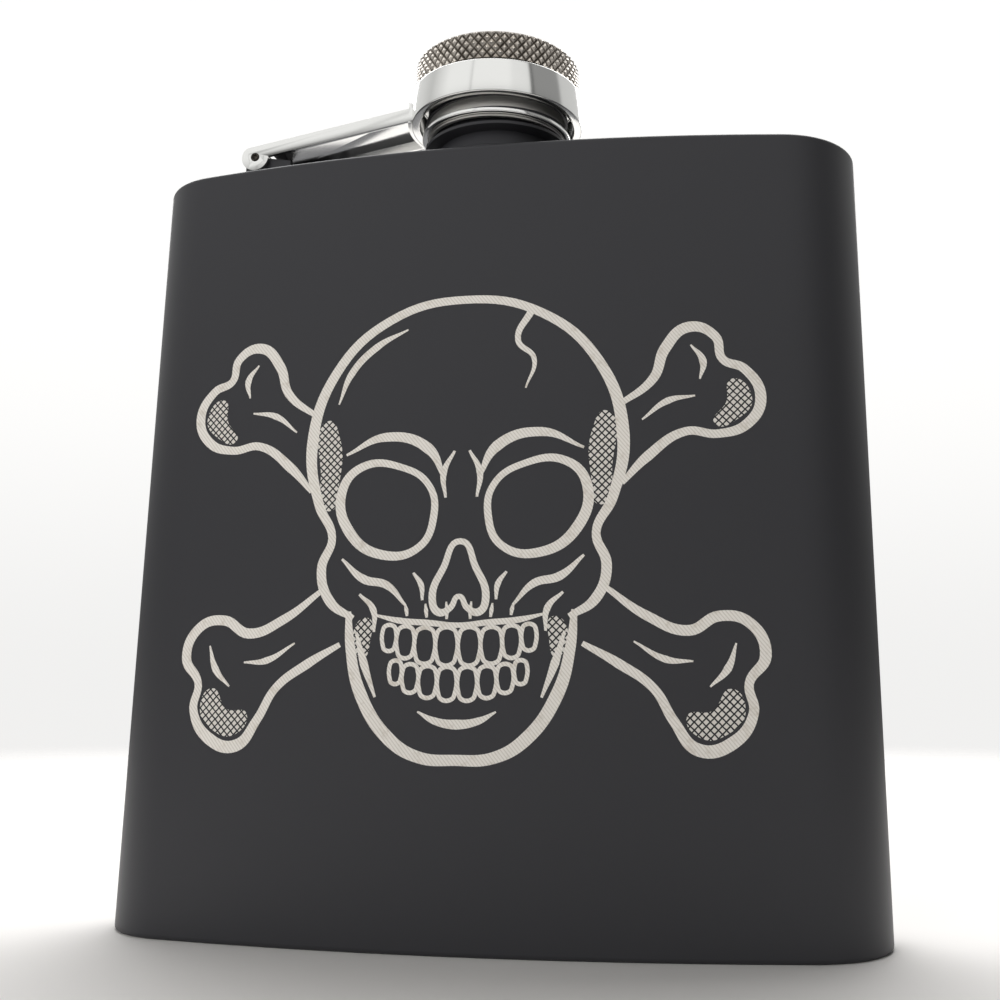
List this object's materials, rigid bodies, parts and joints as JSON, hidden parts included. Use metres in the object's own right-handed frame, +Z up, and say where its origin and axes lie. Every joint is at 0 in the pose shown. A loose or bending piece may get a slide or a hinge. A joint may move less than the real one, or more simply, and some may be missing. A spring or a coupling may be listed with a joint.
{
  "type": "hip flask",
  "caption": "Slim bowed hip flask in black coated sheet steel, with a knurled screw cap held captive in a polished collar on a hinged swing arm.",
  "frame": {"origin": "under the middle of the flask's overall box, on the surface it stands on", "axes": "+Z up along the neck; the bowed front wall faces -Y; the hinge of the cap's arm is at -X"},
  "size_m": [0.094, 0.0254, 0.1114],
  "materials": {
    "black_coating": "matte powder coat with a fine grain",
    "polished_steel": "mirror polished stainless steel",
    "knurled_steel": "diamond knurled stainless steel, satin",
    "turned_steel": "machined stainless steel",
    "seal": "soft translucent silicone"
  },
  "bodies": {
    "flask": {"bottom_plate": "black_coating", "body_wall": "black_coating", "top_plate": "black_coating", "neck": "black_coating", "hinge_base": "black_coating"},
    "arm": {"hinge_arm": "polished_steel", "cap_ring": "polished_steel", "hinge_pin": "turned_steel"},
    "retainer": {"retaining_ring": "polished_steel"},
    "cap": {"threaded_sleeve": "turned_steel", "cap_liner": "seal", "knob": "knurled_steel"}
  },
  "joints": [
    {"name": "arm_swing", "type": "hinge", "parent": "flask", "child": "arm", "pos_m": [-0.0329, -0.00116, 0.0995], "axis": [0, -1, 0], "range_deg": [0, 170]},
    {"name": "cap_lift", "type": "slide", "parent": "arm", "child": "retainer", "axis": [0, 0, 1], "range_m": [0, 0.004]},
    {"name": "cap_turn", "type": "hinge", "parent": "retainer", "child": "cap", "pos_m": [0, -0.00116, 0.105], "axis": [0, 0, 1], "range_deg": [0, 720]}
  ],
  "couplings": [
    {"joint": "cap_lift", "follows": "cap_turn", "m_per_rad": 0.00031831}
  ]
}
